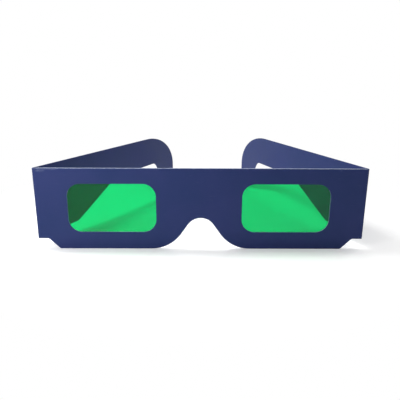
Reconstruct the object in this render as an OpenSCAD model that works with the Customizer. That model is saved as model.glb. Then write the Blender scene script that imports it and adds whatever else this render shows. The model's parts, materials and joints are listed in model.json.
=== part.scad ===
// Card-framed 3D glasses with a green film in each window.
// The front stands upright and faces -Y, and the temples fold back towards +Y.
// The origin is on the ground, under the middle of the resting glasses. Millimetres, +Z up.

/* [Front] */
// Width across the two folded corners
front_w = 150; // [130:1:165]
// Height of the front
front_h = 38; // [36:0.5:44]
// Length of the fold lines, down from the top edge
fold_h = 33; // [28:0.2:34]
// Width of the level step beside each fold line
step_w = 5; // [3:0.5:7]
// Width of the slanted cut from that step down to the bottom edge
corner_cut_w = 5; // [3:0.5:9]
// Rounding at both ends of the slanted cut
corner_r = 1.6; // [0.5:0.1:2.5]

/* [Card] */
// Thickness of each card ply
card_t = 0.42; // [0.3:0.02:0.6]
// Distance from each fold axis to the end of the backing card
backing_setback = 0.6; // [0.4:0.1:2]
// How far the backing's windows stand back from the front's, all round
backing_window_margin = 0.4; // [0:0.1:1]

/* [Windows] */
// Width of the card between each folded corner and the nearer window
window_side_margin = 15.5; // [12:0.1:18]
// Width of the card between the two windows
window_bridge = 39; // [34:0.2:44]
// Height of the card above the windows
window_top_margin = 7.1; // [6:0.1:9]
// Height of the card below the windows
window_bottom_margin = 8.2; // [7:0.1:10]
// Corner radius of each window
window_r = 6; // [2:0.5:8]
// Sideways offset of the pair of windows from the middle
window_shift = -0.8; // [-1.5:0.1:1.5]

/* [Nose arch] */
// Height of the arch above the bottom edge
nose_h = 15; // [10:0.5:17]
// Radius at the top of the arch
nose_top_r = 7; // [5:0.5:8]
// Radius where the arch runs out into the bottom edge
nose_foot_r = 16.5; // [8:0.5:18]
// Slope of the arch's sides against the bottom edge, in degrees
nose_slope = 55; // [45:1:60]

/* [Films and adhesive] */
// Thickness of each film
film_t = 0.13; // [0.08:0.01:0.25]
// Lap of each film on the card, all round its window
film_lap = 2.5; // [2:0.25:3]
// Thickness of the tape strips that hold the films to the front card
tape_t = 0.05; // [0.03:0.01:0.1]
// Width of the tape strips
tape_w = 1.5; // [1:0.25:1.75]
// Bare margin between the glue and the edges of the backing card
glue_inset = 1.2; // [0.5:0.1:1.5]
// Gap between the glue and the edges of the films
glue_gap = 0.4; // [0.2:0.1:0.8]

/* [Temples] */
// Length of each temple, from its fold axis to its rear end
temple_l = 132.6; // [120:0.2:134.4]
// Length of the full-height part behind the fold
root_l = 28; // [20:0.5:36]
// Length of the taper from the full-height part to the arm
taper_l = 34.6; // [24:0.2:40]
// Height of the arm
arm_h = 17; // [12:0.5:20]
// Rounding at both ends of the taper
taper_r = 3; // [1:0.5:8]
// Length of the rounded upper rear corner, along the temple
rear_corner_l = 34; // [20:0.5:40]
// Height of the rounded upper rear corner
rear_corner_h = 21.7; // [12:0.1:27]
// Radius of the tip of the ear hook
tip_r = 7; // [5:0.5:9]
// Slope of the hook's inner edge against the arm, in degrees
hook_slope = 56; // [50:1:70]
// Radius where the arm's lower edge turns into the hook
hook_inner_r = 6; // [1:0.5:8]

/* [Folds] */
// Turn of the resting left temple from flat card, in degrees
left_fold_angle = 114.7; // [90:0.1:115.2]
// Turn of the resting right temple from flat card, in degrees
right_fold_angle = 109.3; // [90:0.1:115.2]
// Gap between the backing card and a temple folded flat on it
fold_clearance = 0.16; // [0.1:0.02:0.4]
// Gap between a crease and the temple that hangs on it
crease_gap = 0.03; // [0.02:0.01:0.06]

/* [Hidden] */

LEFT = -1;
RIGHT = 1;
ARC_STEP = 5; // degrees of arc between two points of a rounded corner
CREASE_FACETS = 96; // sides of a full turn of bent card
QUARTER_TURN = 90;
CARD_BLUE = [0.20, 0.23, 0.41];
FILM_GREEN = [0.03, 0.85, 0.45, 0.7];
GLUE_WHITE = [0.93, 0.92, 0.86];
TAPE_CLEAR = [0.85, 0.88, 0.88];

// The stack of the front, from the outer face backwards
glue_t = tape_t + film_t;
fold_r_in = (card_t + glue_t + fold_clearance) / 2;
fold_r_out = fold_r_in + card_t;

// How far behind the outer face the rear end of a temple reaches
function temple_reach(fold) =
    fold_r_out + temple_l * sin(fold) - cos(fold) * (fold > 90 ? fold_r_out : fold_r_in);
depth = max(temple_reach(left_fold_angle), temple_reach(right_fold_angle));
front_y = -depth / 2;
glue_y = front_y + card_t;
film_y = glue_y + tape_t;
backing_y = glue_y + glue_t;

// The fold axes
axis_x = front_w / 2 - fold_r_out;
axis_y = front_y + fold_r_out;

// Levels and places on the outlines
step_z = front_h - fold_h;
arm_z = front_h - arm_h;
window_w = (front_w - window_bridge) / 2 - window_side_margin;
window_h = front_h - window_top_margin - window_bottom_margin;
window_pitch = window_w + window_bridge;
window_z = window_bottom_margin + window_h / 2;
step_x = front_w / 2 - step_w;
cut_x = step_x - corner_cut_w;
nose_apex_z = nose_h + nose_top_r / cos(nose_slope) - nose_top_r;
nose_foot_x = nose_apex_z / tan(nose_slope);
film_w = window_w + 2 * film_lap;
film_h = window_h + 2 * film_lap;
tip_inner_s = temple_l - tip_r - tip_r * tan(hook_slope / 2);
hook_inner_s = tip_inner_s - arm_z / tan(hook_slope);

// An outline is a list of corners [x, z, radius], counterclockwise.

function unit(v) = v / norm(v);
function point(corner) = [corner[0], corner[1]];
function turned(v) = [-v[1], v[0]];
function after(list, i) = list[(i + 1) % len(list)];
function before(list, i) = list[(i + len(list) - 1) % len(list)];

// The points of the arc that rounds corner b between its neighbours a and c
function corner_arc(a, b, c) =
    b[2] == 0 ? [point(b)] :
    let (to_a = unit(point(a) - point(b)),
         to_c = unit(point(c) - point(b)),
         half = acos(to_a * to_c) / 2,
         centre = point(b) + unit(to_a + to_c) * b[2] / sin(half),
         first = point(b) + to_a * b[2] / tan(half) - centre,
         side = sign(cross(to_c, to_a)),
         sweep = side * acos(-to_a * to_c),
         count = ceil(abs(sweep) / ARC_STEP))
    [for (k = [0 : count])
        let (turn = sweep * k / count)
        centre + first * cos(turn) + turned(first) * sin(turn)];

// The points of an outline with every corner rounded
function rounded(corners) =
    [for (i = [0 : len(corners) - 1])
        each corner_arc(before(corners, i), corners[i], after(corners, i))];

// The corners of the same outline drawn a distance d further in
function inset(corners, d) =
    [for (i = [0 : len(corners) - 1])
        let (here = point(corners[i]),
             n1 = turned(unit(here - point(before(corners, i)))),
             n2 = turned(unit(point(after(corners, i)) - here)),
             outer = cross(n1, n2) > 0,
             place = here + (n1 + n2) * d / (1 + n1 * n2),
             radius = corners[i][2])
        [place[0], place[1], radius == 0 ? 0 : outer ? max(radius - d, 0) : radius + d]];

// The front's outline between two upright ends at half_w on either side
function front_corners(half_w) = [
    [cut_x, 0, corner_r],
    [step_x, step_z, corner_r],
    [half_w, step_z, 0],
    [half_w, front_h, 0],
    [-half_w, front_h, 0],
    [-half_w, step_z, 0],
    [-step_x, step_z, corner_r],
    [-cut_x, 0, corner_r],
    [-nose_foot_x, 0, nose_foot_r],
    [0, nose_apex_z, nose_top_r],
    [nose_foot_x, 0, nose_foot_r]
];

// The elliptical upper rear corner of a temple, from its rear end to its top edge
rear_corner = [for (turn = [0 : ARC_STEP : QUARTER_TURN])
    [temple_l - rear_corner_l * (1 - cos(turn)), front_h - rear_corner_h * (1 - sin(turn)), 0]];

// A temple's outline along its own length
temple_corners = concat([
    [crease_gap, step_z, 0],
    [root_l, step_z, taper_r],
    [root_l + taper_l, arm_z, taper_r],
    [hook_inner_s, arm_z, hook_inner_r],
    [tip_inner_s, 0, tip_r],
    [temple_l, 0, tip_r]
], rear_corner, [[crease_gap, front_h, 0]]);

function panel_corners(w, h, r) = [
    [w / 2, -h / 2, r],
    [w / 2, h / 2, r],
    [-w / 2, h / 2, r],
    [-w / 2, -h / 2, r]
];

// Stands a flat outline up as a sheet of thickness t, with its outer face at y
module sheet(y, t) {
    translate([0, y + t, 0])
        rotate([90, 0, 0])
            linear_extrude(t)
                children();
}

// Puts a flat shape at the middle of one window
module at_window(side) {
    translate([window_shift + side * window_pitch / 2, window_z])
        children();
}

// Both windows' openings, grown by a margin all round
module window_holes(margin) {
    for (side = [LEFT, RIGHT])
        at_window(side)
            polygon(rounded(panel_corners(window_w + 2 * margin, window_h + 2 * margin, window_r + margin)));
}

// Turns what lies along +X from the fold axis to its place on one side
module at_fold(side, fold) {
    translate([side * axis_x, axis_y, 0])
        mirror([side == LEFT ? 1 : 0, 0, 0])
            rotate([0, 0, fold])
                children();
}

module front_card() {
    color(CARD_BLUE)
        sheet(front_y, card_t)
            difference() {
                polygon(rounded(front_corners(axis_x)));
                window_holes(0);
            }
}

module backing_card() {
    color(CARD_BLUE)
        sheet(backing_y, card_t)
            difference() {
                polygon(rounded(front_corners(axis_x - backing_setback)));
                window_holes(backing_window_margin);
            }
}

// The glue fills the space between the plies, round the pockets for the films
module glue_bed() {
    color(GLUE_WHITE)
        sheet(glue_y, glue_t)
            difference() {
                polygon(rounded(inset(front_corners(axis_x - backing_setback), glue_inset)));
                for (side = [LEFT, RIGHT])
                    at_window(side)
                        square([film_w + 2 * glue_gap, film_h + 2 * glue_gap], center = true);
            }
}

module film(side) {
    color(FILM_GREEN)
        sheet(film_y, film_t)
            at_window(side)
                square([film_w, film_h], center = true);
}

// A strip of tape along the upper (1) or lower (-1) rim of a film
module tape(side, rim) {
    color(TAPE_CLEAR)
        sheet(glue_y, tape_t)
            at_window(side)
                translate([0, rim * (film_h - tape_w) / 2])
                    square([film_w, tape_w], center = true);
}

// The bent card between the front and a temple, turning back from where the front ends
module crease(side, fold) {
    color(CARD_BLUE)
        at_fold(side, -QUARTER_TURN)
            rotate_extrude(angle = fold, $fn = CREASE_FACETS)
                translate([fold_r_in, step_z])
                    square([card_t, fold_h]);
}

module temple(side, fold) {
    color(CARD_BLUE)
        at_fold(side, fold)
            sheet(-fold_r_out, card_t)
                polygon(rounded(temple_corners));
}

front_card();
backing_card();
glue_bed();
film(LEFT);  // left_film
film(RIGHT);  // right_film
tape(LEFT, 1);  // left_upper_tape
tape(LEFT, -1);  // left_lower_tape
tape(RIGHT, 1);  // right_upper_tape
tape(RIGHT, -1);  // right_lower_tape
crease(LEFT, left_fold_angle);  // left_crease
crease(RIGHT, right_fold_angle);  // right_crease
temple(LEFT, left_fold_angle);  // left_temple
temple(RIGHT, right_fold_angle);  // right_temple
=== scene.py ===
import json
import math
from collections import namedtuple

import bmesh
import bpy
from mathutils import Matrix, Vector


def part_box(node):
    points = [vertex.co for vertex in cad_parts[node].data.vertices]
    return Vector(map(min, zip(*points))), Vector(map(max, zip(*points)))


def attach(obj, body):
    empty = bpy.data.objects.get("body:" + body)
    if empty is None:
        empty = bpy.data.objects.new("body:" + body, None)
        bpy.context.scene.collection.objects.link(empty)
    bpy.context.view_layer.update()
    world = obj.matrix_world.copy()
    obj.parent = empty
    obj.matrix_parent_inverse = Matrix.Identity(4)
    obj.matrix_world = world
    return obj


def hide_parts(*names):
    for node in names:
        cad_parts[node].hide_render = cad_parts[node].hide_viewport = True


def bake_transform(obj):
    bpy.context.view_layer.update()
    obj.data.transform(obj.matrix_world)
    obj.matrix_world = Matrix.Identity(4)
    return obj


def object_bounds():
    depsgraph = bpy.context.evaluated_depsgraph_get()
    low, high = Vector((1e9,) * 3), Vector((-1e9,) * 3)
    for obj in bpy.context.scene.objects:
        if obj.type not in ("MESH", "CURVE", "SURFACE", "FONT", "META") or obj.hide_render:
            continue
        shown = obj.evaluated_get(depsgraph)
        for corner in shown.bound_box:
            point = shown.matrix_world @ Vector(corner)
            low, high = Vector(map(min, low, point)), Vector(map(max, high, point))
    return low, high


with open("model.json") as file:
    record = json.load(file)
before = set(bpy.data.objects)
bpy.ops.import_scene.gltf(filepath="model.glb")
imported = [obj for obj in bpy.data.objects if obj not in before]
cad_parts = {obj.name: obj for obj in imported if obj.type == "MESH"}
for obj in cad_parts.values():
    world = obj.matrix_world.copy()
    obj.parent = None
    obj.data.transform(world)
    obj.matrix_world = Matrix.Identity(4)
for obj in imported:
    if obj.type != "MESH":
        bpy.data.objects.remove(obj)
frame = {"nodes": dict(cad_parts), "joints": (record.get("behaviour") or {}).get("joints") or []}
CAD_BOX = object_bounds()

bl_info = {
    "name": "Card 3D Glasses",
    "version": (1, 0, 0),
    "blender": (4, 5, 0),
    "location": "View3D > Sidebar > Glasses",
    "description": "Dresses folding card glasses with printed card, cut edges, green films and a pale stage",
    "category": "Object",
}

MM = 0.001
LEFT, RIGHT = -1, 1
SIDE_NAMES = {LEFT: "left", RIGHT: "right"}
ARC_STEP = math.radians(5)  # most that one step turns round a rounded corner
ARC_SLACK = 0.001  # share of a step that rounding errors may add to a corner
REAR_STEPS = 18  # steps round a temple's upper rear corner
LEAST_RADIUS = 0.02 * MM  # of a rounded corner that is drawn further in
WELD, LEAST_EDGE = 0.2e-6, 0.1e-6  # metres: points that are one, and edges that are none
SHARP_ANGLE = math.radians(35)

PRINT, CUT = 0, 1  # material slots of a piece of card
CUT_RING = 2  # place of the cut edge among the rings of a sheet's rim
CUT_SIDES = (2, 6)  # sides of a crease's section that are cut edges
# Wear along the cut edges, from 0, inked over, to 1, bare card with the print rubbed off beside it
FRONT_WEAR, WINDOW_WEAR, TEMPLE_WEAR = 1.0, 0.7, 0.4
CREASE_WEAR = 0.8  # wear on the middle of a crease, where the print cracks

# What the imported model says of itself
FRONT_LOW, FRONT_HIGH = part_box("front_card")
BACKING_LOW, BACKING_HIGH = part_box("backing_card")
CREASE_LOW, CREASE_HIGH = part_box("left_crease")
FILM_BOXES = {side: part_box(SIDE_NAMES[side] + "_film") for side in (LEFT, RIGHT)}
JOINTS = {joint["name"]: joint for joint in frame["joints"]}
FOLD_JOINTS = {side: JOINTS[SIDE_NAMES[side] + "_fold"] for side in (LEFT, RIGHT)}
# A fold's lower limit is the flat card, so its resting turn is that limit turned round
FOLD_TURNS = {side: math.radians(-joint["range_deg"][0]) for side, joint in FOLD_JOINTS.items()}
FOLD_AXES = {side: Vector(joint["pos_m"]) for side, joint in FOLD_JOINTS.items()}
CARD_T = FRONT_HIGH.y - FRONT_LOW.y
FOLD_R_OUT = FOLD_AXES[LEFT].x - CAD_BOX[0].x
FOLD_R_IN = FOLD_R_OUT - CARD_T


def length(name, description, default):
    """A size in metres that a user may change."""
    return bpy.props.FloatProperty(
        name=name, description=description, default=default, min=0.0, precision=5,
        unit="LENGTH", subtype="DISTANCE")


def angle(name, description, degrees):
    """An angle that a user may change, shown in degrees."""
    return bpy.props.FloatProperty(
        name=name, description=description, default=math.radians(degrees),
        unit="ROTATION", subtype="ANGLE")


def colour(name, description, rgb):
    """A linear colour that a user may change."""
    return bpy.props.FloatVectorProperty(
        name=name, description=description, default=rgb, min=0.0, max=1.0, size=3, subtype="COLOR")


def factor(name, description, default):
    """A share from 0 to 1 that a user may change."""
    return bpy.props.FloatProperty(
        name=name, description=description, default=default, min=0.0, max=1.0, subtype="FACTOR")


def refraction(name, description, default):
    """An index of refraction that a user may change."""
    return bpy.props.FloatProperty(name=name, description=description, default=default, min=1.0, max=2.0)


def place(name, description, point):
    """A point in the glasses' frame, in metres."""
    return bpy.props.FloatVectorProperty(
        name=name, description=description, default=point, size=3, precision=5,
        unit="LENGTH", subtype="TRANSLATION")


class CardSizes(bpy.types.PropertyGroup):
    """Outlines of the card, as the die cuts it."""
    step_w: length("Step", "Width of the level step beside each fold", 5 * MM)
    corner_cut_w: length("Corner cut", "Width of the slanted cut below the step", 5 * MM)
    corner_r: length("Corner radius", "Rounding at both ends of the slanted cut", 1.6 * MM)
    window_side_margin: length("Side margin", "Card between a folded corner and the nearer window", 15.5 * MM)
    window_bridge: length("Bridge", "Card between the two windows", 39 * MM)
    window_top_margin: length("Top margin", "Card above the windows", 7.1 * MM)
    window_bottom_margin: length("Bottom margin", "Card below the windows", 8.2 * MM)
    window_r: length("Window radius", "Corner radius of the windows", 6 * MM)
    backing_window_margin: length("Backing margin", "How far the backing's windows stand back", 0.4 * MM)
    nose_h: length("Nose arch height", "Height of the arch above the bottom edge", 15 * MM)
    nose_top_r: length("Nose top radius", "Radius at the top of the arch", 7 * MM)
    nose_foot_r: length("Nose foot radius", "Radius where the arch meets the bottom edge", 16.5 * MM)
    nose_slope: angle("Nose slope", "Slope of the arch's sides", 55)
    temple_l: length("Temple length", "From the fold to the rear end", 132.6 * MM)
    root_l: length("Temple root", "Length of the full-height part behind the fold", 28 * MM)
    taper_l: length("Temple taper", "Length of the taper to the arm", 34.6 * MM)
    arm_h: length("Arm height", "Height of the arm", 17 * MM)
    taper_r: length("Taper radius", "Rounding at both ends of the taper", 3 * MM)
    rear_corner_l: length("Rear corner length", "Length of the rounded upper rear corner", 34 * MM)
    rear_corner_h: length("Rear corner height", "Height of the rounded upper rear corner", 21.7 * MM)
    tip_r: length("Tip radius", "Radius of the ear hook's tip", 7 * MM)
    hook_slope: angle("Hook slope", "Slope of the hook's inner edge", 56)
    hook_inner_r: length("Hook inner radius", "Radius where the arm turns into the hook", 6 * MM)
    crease_gap: length("Crease gap", "Gap between a crease and its temple", 0.03 * MM)
    edge_round: length("Edge rounding", "Rounding that the die leaves along a cut edge", 0.05 * MM)
    edge_band: length("Worn band", "Width of the worn print beside an outer edge", 0.4 * MM)
    window_band: length("Worn window band", "Width of the worn print beside a window", 0.25 * MM)
    film_wave: length("Film wave", "How far the loose film waves inside its window", 0.06 * MM)


class Finishes(bpy.types.PropertyGroup):
    """Colours and surface of the card, the films and the adhesive."""
    print_colour: colour("Print", "Navy print on the card", (0.0165, 0.0332, 0.134))
    print_pale: colour("Pale print", "Where the print is thinner", (0.0243, 0.0380, 0.148))
    # The card core's pale colour, with a blue tint that is painted cool shade
    core_with_painted_cool_shade: colour("Card core", "Cut edges and worn print", (0.50, 0.57, 0.74))
    film_colour: colour("Film", "Green of the films, as white light leaves them", (0.0010, 0.555, 0.146))
    film_deep: colour("Deep film", "Green of the films where the dye is denser", (0.0008, 0.535, 0.137))
    glue_colour: colour("Glue", "Dried glue between the plies", (0.80, 0.77, 0.66))
    tape_colour: colour("Tape", "Tape strips under the films", (0.78, 0.82, 0.80))
    print_roughness: factor("Print roughness", "Middle roughness of the printed card", 0.5)
    film_roughness: factor("Film roughness", "Roughness of the films", 0.06)
    film_clearness: factor("Film clearness", "Share of the light that goes through, and isn't scattered", 0.915)
    print_ior: refraction("Print gloss", "Index of refraction of the print", 1.3)
    core_ior: refraction("Core gloss", "Index of refraction of the cut edges", 1.4)
    film_ior: refraction("Film gloss", "Index of refraction of the films", 1.3)


class StageSettings(bpy.types.PropertyGroup):
    """Camera, sky and floor."""
    target: place(
        "Target", "Point in the middle of the picture",
        (-0.38 * MM, FRONT_LOW.y, FRONT_HIGH.z - 14.43 * MM))
    distance: length("Distance", "From the camera to the target", 199.8 * MM)
    yaw: angle("Yaw", "Turn of the camera about the upright", 0.41)
    pitch: angle("Pitch", "How far the camera looks down", 15.91)
    roll: angle("Roll", "Turn of the camera about its own axis", 0.28)
    lens: bpy.props.FloatProperty(
        name="Lens", description="Focal length for a 36 mm sensor", default=39.843, subtype="DISTANCE_CAMERA")
    sky: factor("Sky", "Strength of the even light from all round", 0.08)
    floor_white: factor("Floor white", "Whiteness of the floor", 0.92)
    floor_glow: factor("Floor glow", "White added to the floor for the camera, near the glasses", 0.3)
    fade_start: length("Fade start", "Distance at which the floor begins to run out into white", 80 * MM)
    fade_end: length("Fade end", "Distance from which the floor is plain white", 140 * MM)


def settings():
    """The scene's groups of settings: card, finishes and stage."""
    scene = bpy.context.scene
    return scene.glasses_card, scene.glasses_finish, scene.glasses_stage


# Outlines are lists of corners, counterclockwise.
# cut says whether the edge that leaves the corner is a cut edge, or joins another piece.
Corner = namedtuple("Corner", "x z radius cut")


def edge_normal(a, b):
    """The inward normal of the edge from corner a to corner b."""
    along = Vector((b.x - a.x, b.z - a.z)).normalized()
    return Vector((-along.y, along.x))


def inset(corners, d):
    """The same outline drawn a distance d further in along its cut edges."""
    drawn = []
    for i, here in enumerate(corners):
        before, after = corners[i - 1], corners[(i + 1) % len(corners)]
        n1, n2 = edge_normal(before, here), edge_normal(here, after)
        d1, d2 = (d if before.cut else 0.0), (d if here.cut else 0.0)
        turn = n1.x * n2.y - n1.y * n2.x
        x = here.x + (d1 * n2.y - d2 * n1.y) / turn
        z = here.z + (d2 * n1.x - d1 * n2.x) / turn
        radius = here.radius - d if turn > 0 else here.radius + d
        drawn.append(Corner(x, z, max(radius, LEAST_RADIUS) if here.radius else 0.0, here.cut))
    return drawn


def rounded(corners):
    """The points of an outline with its corners rounded, each with whether the edge that leaves it is cut."""
    points = []
    for i, here in enumerate(corners):
        before, after = corners[i - 1], corners[(i + 1) % len(corners)]
        a, b, c = (Vector((corner.x, corner.z)) for corner in (before, here, after))
        if here.radius == 0:
            points.append((b, here.cut))
            continue
        to_a, to_c = (a - b).normalized(), (c - b).normalized()
        half = math.acos(max(-1.0, min(1.0, to_a.dot(to_c)))) / 2
        centre = b + (to_a + to_c).normalized() * here.radius / math.sin(half)
        first = b + to_a * here.radius / math.tan(half) - centre
        sweep = math.copysign(math.pi - 2 * half, to_c.x * to_a.y - to_c.y * to_a.x)
        count = max(1, math.ceil(abs(sweep) / ARC_STEP - ARC_SLACK))
        for k in range(count + 1):
            t = sweep * k / count
            p = centre + first * math.cos(t) + Vector((-first.y, first.x)) * math.sin(t)
            points.append((p, here.cut or k < count))
    return points


def front_outline(card, half_w, ends_cut):
    """The front between two upright ends, which are cut edges or join the creases."""
    top, step_z = FRONT_HIGH.z, CREASE_LOW.z
    step_x = CAD_BOX[1].x - card.step_w
    cut_x = step_x - card.corner_cut_w
    apex_z = card.nose_h + card.nose_top_r / math.cos(card.nose_slope) - card.nose_top_r
    foot_x = apex_z / math.tan(card.nose_slope)
    return [
        Corner(cut_x, 0, card.corner_r, True), Corner(step_x, step_z, card.corner_r, True),
        Corner(half_w, step_z, 0, ends_cut), Corner(half_w, top, 0, True),
        Corner(-half_w, top, 0, ends_cut), Corner(-half_w, step_z, 0, True),
        Corner(-step_x, step_z, card.corner_r, True), Corner(-cut_x, 0, card.corner_r, True),
        Corner(-foot_x, 0, card.nose_foot_r, True), Corner(0, apex_z, card.nose_top_r, True),
        Corner(foot_x, 0, card.nose_foot_r, True)]


def window_size(card):
    """Width and height of a window in the front."""
    width = (CAD_BOX[1].x - CAD_BOX[0].x - card.window_bridge) / 2 - card.window_side_margin
    height = FRONT_HIGH.z - card.window_top_margin - card.window_bottom_margin
    return width, height


def window_outline(card, side, margin):
    """One window, grown by a margin. Its middle is the middle of its film."""
    low, high = FILM_BOXES[side]
    x, z = (low.x + high.x) / 2, (low.z + high.z) / 2
    width, height = window_size(card)
    w, h, r = width / 2 + margin, height / 2 + margin, card.window_r + margin
    return [
        Corner(x + w, z - h, r, True), Corner(x + w, z + h, r, True),
        Corner(x - w, z + h, r, True), Corner(x - w, z - h, r, True)]


def temple_outline(card):
    """A temple along its own length, with its front end joined to the crease."""
    top, step_z = FRONT_HIGH.z, CREASE_LOW.z
    arm_z = top - card.arm_h
    tip_s = card.temple_l - card.tip_r - card.tip_r * math.tan(card.hook_slope / 2)
    hook_s = tip_s - arm_z / math.tan(card.hook_slope)
    rear_corner = []
    for k in range(REAR_STEPS + 1):
        turn = math.pi / 2 * k / REAR_STEPS
        along, drop = card.rear_corner_l * (1 - math.cos(turn)), card.rear_corner_h * (1 - math.sin(turn))
        rear_corner.append(Corner(card.temple_l - along, top - drop, 0, True))
    return [
        Corner(card.crease_gap, step_z, 0, True), Corner(card.root_l, step_z, card.taper_r, True),
        Corner(card.root_l + card.taper_l, arm_z, card.taper_r, True),
        Corner(hook_s, arm_z, card.hook_inner_r, True), Corner(tip_s, 0, card.tip_r, True),
        Corner(card.temple_l, 0, card.tip_r, True), *rear_corner, Corner(card.crease_gap, top, 0, False)]


def on_front(y):
    """Places a point (along, depth, height) of a ply of the front, whose outer face is at y."""
    return lambda u, t, v: Vector((u, y + t, v))


def on_temple(side):
    """Places a point (along, depth, height) of a temple at its resting fold."""
    axis, turn = FOLD_AXES[side], FOLD_TURNS[side]

    def put(u, t, v):
        y = t - FOLD_R_OUT
        x, back = u * math.cos(turn) - y * math.sin(turn), u * math.sin(turn) + y * math.cos(turn)
        return Vector((axis.x + side * x, axis.y + back, v))
    return put


def finish_piece(name, bm, materials):
    """Turns a bmesh into a piece with outward normals, smooth curves and sharp edges."""
    bmesh.ops.remove_doubles(bm, verts=bm.verts, dist=WELD)
    bmesh.ops.dissolve_degenerate(bm, edges=bm.edges, dist=LEAST_EDGE)
    bmesh.ops.recalc_face_normals(bm, faces=bm.faces)
    mesh = bpy.data.meshes.new(name)
    bm.to_mesh(mesh)
    bm.free()
    for material in materials:
        mesh.materials.append(material)
    mesh.shade_smooth()
    mesh.set_sharp_from_angle(angle=SHARP_ANGLE)
    piece = bpy.data.objects.new(name, mesh)
    bpy.context.scene.collection.objects.link(piece)
    return piece


def card_sheet(name, card, outer, holes, put, edge_wear):
    """A die-cut sheet: printed faces, a worn band beside each edge, rounded rims and bare cut edges."""
    bm = bmesh.new()
    wear = bm.verts.layers.float.new("wear")
    e, t = card.edge_round, CARD_T
    faces_edges = ([], [])
    rims = [(outer, 1, card.edge_band, edge_wear)]
    rims += [(hole, -1, card.window_band, WINDOW_WEAR) for hole in holes]
    for corners, inward, band, worn in rims:
        # Each ring is (distance in from the edge, depth, wear), from the outer face round to the inner one
        rings = [(band, 0, 0), (e, 0, worn), (0, e, worn), (0, t - e, worn), (e, t, worn), (band, t, 0)]
        loops = []
        for d, depth, share in rings:
            points = rounded(inset(corners, inward * d))
            loop = [bm.verts.new(put(p.x, depth, p.y)) for p, _ in points]
            for v in loop:
                v[wear] = share
            loops.append(loop)
        for i, (_, cut) in enumerate(points):
            j = (i + 1) % len(points)
            if not cut:
                end = bm.faces.new([loop[i] for loop in loops] + [loop[j] for loop in reversed(loops)])
                end.material_index = CUT
                continue
            for r in range(len(rings) - 1):
                face = bm.faces.new((loops[r][i], loops[r][j], loops[r + 1][j], loops[r + 1][i]))
                face.material_index = CUT if r == CUT_RING else PRINT
        for edges, loop in zip(faces_edges, (loops[0], loops[-1])):
            edges += [bm.edges.get((loop[i], loop[(i + 1) % len(loop)])) for i in range(len(loop))]
    for edges in faces_edges:
        bmesh.ops.triangle_fill(bm, use_beauty=True, use_dissolve=False, edges=edges)
    return finish_piece(name, bm, card_finishes())


class Nodes:
    """Short ways to add nodes to one material's tree."""
    # A Mix node has sockets of the same name for each type, so its colours are reached by number
    MIX_A, MIX_B, MIX_RESULT = 6, 7, 2

    def __init__(self, name):
        self.material = bpy.data.materials.new(name)
        self.material.use_nodes = True
        self.tree = self.material.node_tree
        self.shader = self.tree.nodes["Principled BSDF"]
        self.output = self.tree.nodes["Material Output"]
        coordinate = self.tree.nodes.new("ShaderNodeTexCoord")
        self.millimetres = self.vector("SCALE", coordinate.outputs["Object"], scale=1 / MM)

    def link(self, socket, value):
        """Links another node's socket, or sets a constant."""
        if isinstance(value, bpy.types.NodeSocket):
            self.tree.links.new(value, socket)
        elif value is not None:
            socket.default_value = value

    def surface(self, name, value):
        """Links or sets one of the shader's own sockets."""
        self.link(self.shader.inputs[name], value)

    def math(self, operation, a, b, clamp=False):
        """A sum, product or the like of two numbers."""
        node = self.tree.nodes.new("ShaderNodeMath")
        node.operation, node.use_clamp = operation, clamp
        self.link(node.inputs[0], a)
        self.link(node.inputs[1], b)
        return node.outputs[0]

    def vector(self, operation, a, b=None, scale=None):
        """A vector scaled, or joined with another, or its length."""
        node = self.tree.nodes.new("ShaderNodeVectorMath")
        node.operation = operation
        self.link(node.inputs[0], a)
        self.link(node.inputs[1], b)
        if scale is not None:
            node.inputs["Scale"].default_value = scale
        return node.outputs["Value" if operation == "LENGTH" else "Vector"]

    def noise(self, scale, detail=2.0, roughness=0.5, stretch=None):
        """Noise over the surface, with about scale lumps to the millimetre."""
        node = self.tree.nodes.new("ShaderNodeTexNoise")
        node.inputs["Scale"].default_value = scale
        node.inputs["Detail"].default_value = detail
        node.inputs["Roughness"].default_value = roughness
        where = self.millimetres if stretch is None else self.vector("MULTIPLY", self.millimetres, stretch)
        self.tree.links.new(where, node.inputs["Vector"])
        return node.outputs["Fac"]

    def span(self, value, low, high, to_low=0.0, to_high=1.0):
        """Maps value from low..high to to_low..to_high, smoothly."""
        node = self.tree.nodes.new("ShaderNodeMapRange")
        node.interpolation_type = "SMOOTHSTEP"
        for name, number in (("From Min", low), ("From Max", high), ("To Min", to_low), ("To Max", to_high)):
            node.inputs[name].default_value = number
        self.tree.links.new(value, node.inputs["Value"])
        return node.outputs["Result"]

    def mix(self, share, a, b):
        """Colour a, with a share of colour b laid over it."""
        node = self.tree.nodes.new("ShaderNodeMix")
        node.data_type = "RGBA"
        self.link(node.inputs["Factor"], share)
        for number, value in ((self.MIX_A, a), (self.MIX_B, b)):
            self.link(node.inputs[number], value if isinstance(value, bpy.types.NodeSocket) else (*value, 1.0))
        return node.outputs[self.MIX_RESULT]

    def wear(self):
        """The wear that the mesh carries along its edges and creases."""
        node = self.tree.nodes.new("ShaderNodeAttribute")
        node.attribute_name = "wear"
        return node.outputs["Fac"]

    def bump(self, height, distance, strength, normal=None):
        """The normal of a rough surface, on top of another bump where one is given."""
        node = self.tree.nodes.new("ShaderNodeBump")
        node.inputs["Distance"].default_value = distance
        node.inputs["Strength"].default_value = strength
        self.tree.links.new(height, node.inputs["Height"])
        self.link(node.inputs["Normal"], normal)
        return node.outputs["Normal"]

    def rub(self, point, reach):
        """1 at a point given in millimetres, falling to 0 at its reach along each axis."""
        away = self.vector("DIVIDE", self.vector("SUBTRACT", self.millimetres, point), reach)
        return self.span(self.vector("LENGTH", away), RUB_CORE, 1.0, to_low=1.0, to_high=0.0)


NOISE_MIDDLE = (0.3, 0.7)  # where most values of a noise lie

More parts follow.
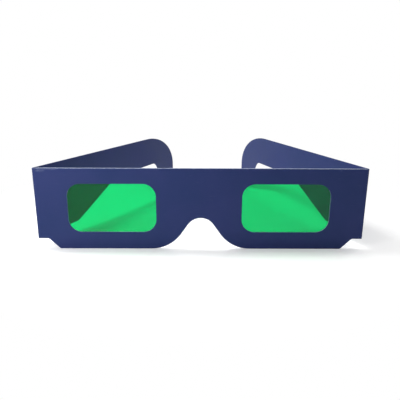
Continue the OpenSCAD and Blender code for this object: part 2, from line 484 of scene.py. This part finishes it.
# Rubbed places on the front's outer face, in millimetres: (x, z, reach along x, reach along z)
RUBS = [(-71.6, 37.3, 3.2, 1.5), (-66.5, 37.8, 4.6, 0.9), (62.4, 37.2, 0.4, 0.4), (-3.3, 37.9, 0.9, 0.5)]
RUB_DEPTH = 0.5  # reach into the card, which keeps a rub off the plies behind
RUB_CORE = 0.25  # share of the reach that is rubbed in full

# How much each mark on the print shows, from 0 to 1, and how dark the grain is against the ink
GRAIN_SHARE, FIBRE_SHARE, WORN_SHARE, RUBBED_SHARE = 0.16, 0.02, 0.5, 0.15
GRAIN_SHADE = 0.6
# What full ink, thin patches, grain and bare card add to the print's roughness
INK_ROUGHNESS, PATCH_ROUGHNESS, GRAIN_ROUGHNESS, BARE_ROUGHNESS = -0.04, 0.05, 0.06, 0.3
# How dark the pulp, the glue's streaks and the tape's bubbles are against their own colour
PULP_SHADE, STREAK_SHADE, BUBBLE_SHADE = 0.78, 0.85, 0.8
SMEAR_SHARE, INKED_SHARE = 0.35, 0.85  # ink on a cut edge, in smears and where it is inked over
INKED_WEAR, BARE_WEAR = 0.3, 0.7  # wear up to which a cut edge is inked over, and from which it is bare
SCUFF_ROUGHNESS = 0.05  # what a scuff adds to a film's roughness


def shaded(rgb, share):
    """A darker shade of a colour."""
    return [c * share for c in rgb]


def printed_card(finish):
    """Navy satin print with thin patches, fibres, rubbed places and worn rims."""
    n = Nodes("navy_printed_card")
    patches = n.span(n.noise(scale=0.045, detail=3.0, roughness=0.55), *NOISE_MIDDLE)
    grain = n.noise(scale=2.6, detail=3.0, roughness=0.6)
    fibres = n.noise(scale=0.9, detail=4.0, roughness=0.65, stretch=(0.35, 1.0, 1.6))
    ink = n.mix(patches, finish.print_colour, finish.print_pale)
    ink = n.mix(n.span(grain, 0.35, 0.75, to_high=GRAIN_SHARE), ink, shaded(finish.print_colour, GRAIN_SHADE))
    # Fibres show the pale core, whose blue tint is painted cool shade
    ink = n.mix(n.span(fibres, 0.58, 0.8, to_high=FIBRE_SHARE), ink, finish.core_with_painted_cool_shade)
    cracks = n.span(n.noise(scale=1.1, detail=4.0, roughness=0.7), 0.44, 0.66)
    worn = n.math("MULTIPLY", n.span(n.wear(), 0.55, 1.0), cracks)
    rubs = [n.rub((x, FRONT_LOW.y / MM, z), (along, RUB_DEPTH, up)) for x, z, along, up in RUBS]
    rubbed = rubs[0]
    for rub in rubs[1:]:
        rubbed = n.math("MAXIMUM", rubbed, rub)
    strokes = n.noise(scale=1.0, detail=4.0, roughness=0.7, stretch=(0.6, 1.0, 1.6))
    rubbed = n.math("MULTIPLY", rubbed, n.span(strokes, 0.36, 0.66))
    bare = n.math(
        "MAXIMUM", n.math("MULTIPLY", worn, WORN_SHARE), n.math("MULTIPLY", rubbed, RUBBED_SHARE), clamp=True)
    # Worn and rubbed places show the pale core, whose blue tint is painted cool shade
    n.surface("Base Color", n.mix(bare, ink, finish.core_with_painted_cool_shade))
    satin = n.span(
        patches, 0.0, 1.0, finish.print_roughness + INK_ROUGHNESS, finish.print_roughness + PATCH_ROUGHNESS)
    rough = n.math("ADD", satin, n.span(grain, *NOISE_MIDDLE, to_high=GRAIN_ROUGHNESS))
    n.surface("Roughness", n.math("ADD", rough, n.math("MULTIPLY", bare, BARE_ROUGHNESS), clamp=True))
    pulp = n.bump(n.noise(scale=0.16), distance=0.02 * MM, strength=0.35)
    n.surface("Normal", n.bump(fibres, distance=0.006 * MM, strength=0.5, normal=pulp))
    n.surface("IOR", finish.print_ior)
    return n.material


def cut_card(finish):
    """Bare pulp along the cut, flecked, with smears of ink; the pulp's pale colour has a blue tint that is
    painted cool shade.
    """
    n = Nodes("bare_cut_card")
    pulp = n.noise(scale=1.8, detail=4.0, roughness=0.7)
    fleck = n.noise(scale=6.0, roughness=0.6)
    # The pale core, with a blue tint that is painted cool shade, darker where the pulp is denser
    tint = n.mix(n.span(pulp, *NOISE_MIDDLE), shaded(finish.core_with_painted_cool_shade, PULP_SHADE), finish.core_with_painted_cool_shade)
    smear = n.span(n.noise(scale=0.35, detail=3.0, roughness=0.6), 0.5, 0.72, to_high=SMEAR_SHARE)
    inked = n.math("MAXIMUM", smear, n.span(n.wear(), INKED_WEAR, BARE_WEAR, to_low=INKED_SHARE, to_high=0.0))
    n.surface("Base Color", n.mix(inked, tint, finish.print_pale))
    n.surface("Roughness", n.span(fleck, *NOISE_MIDDLE, to_low=0.78, to_high=0.95))
    n.surface("Normal", n.bump(fleck, distance=0.02 * MM, strength=0.6))
    n.surface("IOR", finish.core_ior)
    return n.material


def green_film(finish):
    """Clear dyed film with faint uneven dye, scuffs and a soft ripple."""
    n = Nodes("green_dyed_film")
    uneven = n.span(n.noise(scale=0.06), *NOISE_MIDDLE)
    n.surface("Base Color", n.mix(uneven, finish.film_colour, finish.film_deep))
    lines = n.noise(scale=0.7, detail=5.0, roughness=0.75, stretch=(0.25, 1.0, 1.0))
    scuff = n.span(lines, 0.62, 0.8, to_high=SCUFF_ROUGHNESS)
    n.surface("Roughness", n.math("ADD", scuff, finish.film_roughness))
    ripple = n.noise(scale=0.05, stretch=(0.3, 1.0, 1.0))
    n.surface("Normal", n.bump(ripple, distance=0.05 * MM, strength=0.2))
    n.surface("Transmission Weight", finish.film_clearness)
    n.surface("IOR", finish.film_ior)
    return n.material


def dried_glue(finish):
    """Dried glue, streaky where the roller spread it."""
    n = Nodes("dried_glue")
    streaks = n.noise(scale=0.5, detail=4.0, roughness=0.6, stretch=(0.1, 1.0, 1.0))
    thin = shaded(finish.glue_colour, STREAK_SHADE)
    n.surface("Base Color", n.mix(n.span(streaks, *NOISE_MIDDLE), thin, finish.glue_colour))
    n.surface("Roughness", n.span(streaks, *NOISE_MIDDLE, to_low=0.45, to_high=0.7))
    n.surface("Normal", n.bump(streaks, distance=0.02 * MM, strength=0.5))
    return n.material


def pressed_tape(finish):
    """Thin double-sided tape with pressed-in bubbles."""
    n = Nodes("pressed_tape")
    bubbles = n.noise(scale=0.9)
    dull = shaded(finish.tape_colour, BUBBLE_SHADE)
    n.surface("Base Color", n.mix(n.span(bubbles, 0.5, 0.7), finish.tape_colour, dull))
    n.surface("Roughness", n.span(bubbles, *NOISE_MIDDLE, to_low=0.2, to_high=0.4))
    n.surface("Normal", n.bump(bubbles, distance=0.01 * MM, strength=0.4))
    return n.material


MAKERS = {
    "navy_printed_card": printed_card, "bare_cut_card": cut_card, "green_dyed_film": green_film,
    "dried_glue": dried_glue, "pressed_tape": pressed_tape}


def finish_named(name):
    """The material of that name, made the first time that it is asked for. No slot of the record has its name."""
    return bpy.data.materials.get(name) or MAKERS[name](settings()[1])


def card_finishes():
    """The materials of a piece of card, in the order of its slots."""
    return [finish_named("navy_printed_card"), finish_named("bare_cut_card")]


class GLASSES_OT_front_plies(bpy.types.Operator):
    """Makes the printed front and the backing card behind it"""
    bl_idname = "glasses.front_plies"
    bl_label = "Front plies"

    def execute(self, context):
        card = settings()[0]
        for node, low, high, margin, ends_cut in (
                ("front_card", FRONT_LOW, FRONT_HIGH, 0.0, False),
                ("backing_card", BACKING_LOW, BACKING_HIGH, card.backing_window_margin, True)):
            outer = front_outline(card, high.x, ends_cut)
            holes = [window_outline(card, side, margin) for side in (LEFT, RIGHT)]
            name = node.replace("card", "ply")
            piece = card_sheet(name, card, outer, holes, on_front(low.y), FRONT_WEAR)
            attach(piece, "front")
            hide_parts(node)
        return {"FINISHED"}


class GLASSES_OT_creases(bpy.types.Operator):
    """Makes the bent strips of card that join the front to the temples, bent to the temples' resting turn"""
    bl_idname = "glasses.creases"
    bl_label = "Creases"
    segments: bpy.props.IntProperty(name="Segments", description="Steps round each bend", default=18, min=4)

    def execute(self, context):
        for side in (LEFT, RIGHT):
            name = SIDE_NAMES[side]
            piece = finish_piece(name + "_bend", self.bent_strip(side), card_finishes())
            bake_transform(piece)
            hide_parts(name + "_crease")
        return {"FINISHED"}

    def bent_strip(self, side):
        """The strip's section, carried round the fold's axis to the temple."""
        axis, turn = FOLD_AXES[side], FOLD_TURNS[side]
        e, low, high = settings()[0].edge_round, CREASE_LOW.z, CREASE_HIGH.z
        # The section's points are (radius, height)
        section = [
            (FOLD_R_OUT, low + e), (FOLD_R_OUT, high - e), (FOLD_R_OUT - e, high), (FOLD_R_IN + e, high),
            (FOLD_R_IN, high - e), (FOLD_R_IN, low + e), (FOLD_R_IN + e, low), (FOLD_R_OUT - e, low)]
        bm = bmesh.new()
        wear = bm.verts.layers.float.new("wear")
        loops = []
        for k in range(self.segments + 1):
            a = turn * k / self.segments
            loop = []
            for radius, z in section:
                v = bm.verts.new((axis.x + side * radius * math.sin(a), axis.y - radius * math.cos(a), z))
                v[wear] = CREASE_WEAR * math.sin(math.pi * k / self.segments)
                loop.append(v)
            loops.append(loop)
        for a, b in zip(loops, loops[1:]):
            for i in range(len(section)):
                j = (i + 1) % len(section)
                face = bm.faces.new((a[i], a[j], b[j], b[i]))
                face.material_index = CUT if i in CUT_SIDES else PRINT
        bm.faces.new(loops[0])
        bm.faces.new(loops[-1])
        return bm


class GLASSES_OT_temples(bpy.types.Operator):
    """Makes the two temples with their ear hooks"""
    bl_idname = "glasses.temples"
    bl_label = "Temples"

    def execute(self, context):
        card = settings()[0]
        for side in (LEFT, RIGHT):
            name = SIDE_NAMES[side]
            piece = card_sheet(name + "_arm", card, temple_outline(card), [], on_temple(side), TEMPLE_WEAR)
            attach(piece, name + "_temple")
            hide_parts(name + "_temple")
        return {"FINISHED"}


# Waves of a film inside its window: (height, radians across, radians up, radians that tell left from right)
WAVES = [(1.0, 7.1, 2.3, 1.0), (0.6, -3.1, 5.3, 0.0)]


class GLASSES_OT_films(bpy.types.Operator):
    """Makes the green films, held at their rims and slightly wavy inside the windows"""
    bl_idname = "glasses.films"
    bl_label = "Films"
    columns: bpy.props.IntProperty(name="Columns", description="Steps across a film", default=40, min=4)
    rows: bpy.props.IntProperty(name="Rows", description="Steps up a film", default=26, min=4)

    def execute(self, context):
        for side in (LEFT, RIGHT):
            low, high = FILM_BOXES[side]
            bm = bmesh.new()
            faces = [self.face_grid(bm, side, y) for y in (low.y, high.y)]
            outer, inner = [self.rim(grid) for grid in faces]
            for i in range(len(outer)):
                j = (i + 1) % len(outer)
                bm.faces.new((outer[i], outer[j], inner[j], inner[i]))
            name = SIDE_NAMES[side]
            piece = finish_piece(name + "_gel", bm, [finish_named("green_dyed_film")])
            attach(piece, "front")
            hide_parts(name + "_film")
        return {"FINISHED"}

    def face_grid(self, bm, side, y):
        """One face of a film as rows of points, with its quads filled in."""
        card = settings()[0]
        width, height = window_size(card)
        low, high = FILM_BOXES[side]
        middle, size = (low + high) / 2, high - low
        grid = []
        for r in range(self.rows + 1):
            line = []
            for c in range(self.columns + 1):
                u, v = c / self.columns - 0.5, r / self.rows - 0.5
                x, z = middle.x + u * size.x, middle.z + v * size.z
                across, up = u * size.x / width, v * size.z / height
                # The film is free in the middle of the window and held from its rims outwards
                free = max(0.0, 1 - 4 * across ** 2) * max(0.0, 1 - 4 * up ** 2)
                wave = sum(tall * math.sin(a * across + b * up + apart * side) for tall, a, b, apart in WAVES)
                line.append(bm.verts.new((x, y + card.film_wave * free * wave, z)))
            grid.append(line)
        for r in range(self.rows):
            for c in range(self.columns):
                bm.faces.new((grid[r][c], grid[r][c + 1], grid[r + 1][c + 1], grid[r + 1][c]))
        return grid

    def rim(self, grid):
        """The points round the outside of a grid, in order."""
        right, left = [line[-1] for line in grid[1:]], [line[0] for line in grid[-2:0:-1]]
        return grid[0] + right + grid[-1][-2::-1] + left


class GLASSES_OT_adhesive(bpy.types.Operator):
    """Gives the glue and the tape strips between the plies their finish"""
    bl_idname = "glasses.adhesive"
    bl_label = "Adhesive"

    def execute(self, context):
        finishes = {"glue_bed": "dried_glue"}
        for name in SIDE_NAMES.values():
            for rim in ("upper", "lower"):
                finishes[f"{name}_{rim}_tape"] = "pressed_tape"
        for node, finish in finishes.items():
            for slot in frame["nodes"][node].material_slots:
                slot.material = finish_named(finish)
        return {"FINISHED"}


# Lamps: (name, place in metres, aim in metres, width in metres, power in watts)
LAMPS = [
    ("upper_left_lamp", (-0.185, 0.0, 0.35), (0.0, 0.0, 0.0), 0.09, 0.77),
    ("upper_right_lamp", (0.19, 0.05, 0.40), (0.0, 0.0, 0.0), 0.07, 0.21),
    ("front_left_lamp", (-0.105, -0.18, 0.10), (-0.05, -0.06, 0.02), 0.08, 0.146),
    ("left_lamp", (-0.36, 0.06, 0.28), (0.0, 0.02, 0.02), 0.30, 0.88),
    ("right_lamp", (0.36, 0.10, 0.28), (0.0, 0.02, 0.02), 0.30, 0.40),
    ("rear_lamp", (0.05, 0.40, 0.40), (0.0, 0.02, 0.02), 0.36, 0.80),
]
SENSOR_W = 36.0  # millimetres
CLIP_START, CLIP_END = 0.01, 50.0  # metres
WHITE = (1, 1, 1, 1)
PAPER_MOTTLE, PAPER_ROUGHNESS = 0.01, 0.9


class GLASSES_OT_stage(bpy.types.Operator):
    """Sets the camera, the lamps, the sky and the pale floor"""
    bl_idname = "glasses.stage"
    bl_label = "Stage"
    floor_half: length("Floor", "Half the floor's width", 6.0)

    def execute(self, context):
        stage = settings()[2]
        scene = context.scene
        scene.view_settings.view_transform = "Standard"
        self.camera(scene, stage)
        self.lamps(scene)
        self.sky(scene, stage)
        self.floor(scene, stage)
        return {"FINISHED"}

    def camera(self, scene, stage):
        """A camera at the photograph's viewing angle."""
        level = math.cos(stage.pitch)
        right = Vector((math.cos(stage.yaw), -math.sin(stage.yaw), 0))
        ahead = Vector((math.sin(stage.yaw) * level, math.cos(stage.yaw) * level, -math.sin(stage.pitch)))
        up = right.cross(ahead)
        c, s = math.cos(stage.roll), math.sin(stage.roll)
        across, upward = right * c + up * s, up * c - right * s
        data = bpy.data.cameras.new("photo_camera")
        data.sensor_width, data.lens = SENSOR_W, stage.lens
        data.clip_start, data.clip_end = CLIP_START, CLIP_END
        camera = bpy.data.objects.new("photo_camera", data)
        turn = Matrix((across, upward, -ahead)).transposed().to_4x4()
        camera.matrix_world = Matrix.Translation(Vector(stage.target) - stage.distance * ahead) @ turn
        scene.collection.objects.link(camera)
        scene.camera = camera

    def lamps(self, scene):
        """Soft round lamps, out of the camera's sight."""
        for name, where, aim, width, power in LAMPS:
            data = bpy.data.lights.new(name, "AREA")
            data.shape, data.size, data.energy = "DISK", width, power
            lamp = bpy.data.objects.new(name, data)
            lamp.visible_camera = False
            lamp.location = where
            lamp.rotation_euler = (Vector(aim) - Vector(where)).to_track_quat("-Z", "Y").to_euler()
            scene.collection.objects.link(lamp)

    def seen_share(self, tree):
        """1 for what the camera sees, straight, mirrored or through a film."""
        path = tree.nodes.new("ShaderNodeLightPath")
        share = path.outputs["Is Camera Ray"]
        for name in ("Is Glossy Ray", "Is Transmission Ray"):
            node = tree.nodes.new("ShaderNodeMath")
            node.operation = "MAXIMUM"
            tree.links.new(share, node.inputs[0])
            tree.links.new(path.outputs[name], node.inputs[1])
            share = node.outputs[0]
        return share

    def sky(self, scene, stage):
        """An even, weak light from all round that the camera sees as white."""
        world = bpy.data.worlds.new("even_sky")
        world.use_nodes = True
        scene.world = world
        tree = world.node_tree
        background = tree.nodes["Background"]
        background.inputs["Color"].default_value = WHITE
        strength = tree.nodes.new("ShaderNodeMapRange")
        strength.inputs["To Min"].default_value = stage.sky
        strength.inputs["To Max"].default_value = 1.0
        tree.links.new(self.seen_share(tree), strength.inputs["Value"])
        tree.links.new(strength.outputs["Result"], background.inputs["Strength"])

    def floor(self, scene, stage):
        """A wide sheet of pale paper under the glasses."""
        mesh = bpy.data.meshes.new("pale_floor")
        h = self.floor_half
        mesh.from_pydata([(-h, -h, 0), (h, -h, 0), (h, h, 0), (-h, h, 0)], [], [(0, 1, 2, 3)])
        mesh.materials.append(self.paper(stage))
        floor = bpy.data.objects.new("pale_floor", mesh)
        scene.collection.objects.link(floor)

    def paper(self, stage):
        """Pale paper that keeps the shadow, and runs out into plain white well away from the glasses."""
        n = Nodes("pale_paper")
        mottled = n.noise(scale=0.02, detail=3.0)
        tone = n.span(mottled, *NOISE_MIDDLE, stage.floor_white - PAPER_MOTTLE, stage.floor_white)
        grey = n.tree.nodes.new("ShaderNodeCombineColor")
        for socket in grey.inputs:
            n.link(socket, tone)
        n.surface("Base Color", grey.outputs["Color"])
        n.surface("Roughness", PAPER_ROUGHNESS)
        n.surface("Specular IOR Level", 0.0)
        n.surface("Emission Color", WHITE)
        n.surface("Emission Strength", n.math("MULTIPLY", self.seen_share(n.tree), stage.floor_glow))
        away = n.span(n.vector("LENGTH", n.millimetres), stage.fade_start / MM, stage.fade_end / MM)
        white = n.tree.nodes.new("ShaderNodeEmission")
        mix = n.tree.nodes.new("ShaderNodeMixShader")
        n.link(mix.inputs[0], n.math("MULTIPLY", away, self.seen_share(n.tree)))
        n.link(mix.inputs[1], n.shader.outputs[0])
        n.link(mix.inputs[2], white.outputs[0])
        n.link(n.output.inputs["Surface"], mix.outputs[0])
        return n.material


STEPS = (
    GLASSES_OT_front_plies, GLASSES_OT_creases, GLASSES_OT_temples, GLASSES_OT_films, GLASSES_OT_adhesive,
    GLASSES_OT_stage)


class GLASSES_PT_panel(bpy.types.Panel):
    """Lists the pieces of the glasses and their settings"""
    bl_label = "Card 3D Glasses"
    bl_idname = "GLASSES_PT_panel"
    bl_space_type = "VIEW_3D"
    bl_region_type = "UI"
    bl_category = "Glasses"

    def draw(self, context):
        for step in STEPS:
            self.layout.operator(step.bl_idname)
        for group in settings():
            box = self.layout.box()
            for name in group.__annotations__:
                box.prop(group, name)


GROUPS = {"glasses_card": CardSizes, "glasses_finish": Finishes, "glasses_stage": StageSettings}


def register():
    """Adds the classes and the scene's settings."""
    for kind in (*GROUPS.values(), *STEPS, GLASSES_PT_panel):
        bpy.utils.register_class(kind)
    for name, group in GROUPS.items():
        setattr(bpy.types.Scene, name, bpy.props.PointerProperty(type=group))


def unregister():
    """Takes the scene's settings and the classes out again."""
    for name in GROUPS:
        delattr(bpy.types.Scene, name)
    for kind in reversed((*GROUPS.values(), *STEPS, GLASSES_PT_panel)):
        bpy.utils.unregister_class(kind)


def main():
    """Makes the pieces and the stage."""
    register()
    bpy.ops.glasses.front_plies()
    bpy.ops.glasses.creases()
    bpy.ops.glasses.temples()
    bpy.ops.glasses.films()
    bpy.ops.glasses.adhesive()
    bpy.ops.glasses.stage()


if __name__ == "__main__":
    main()
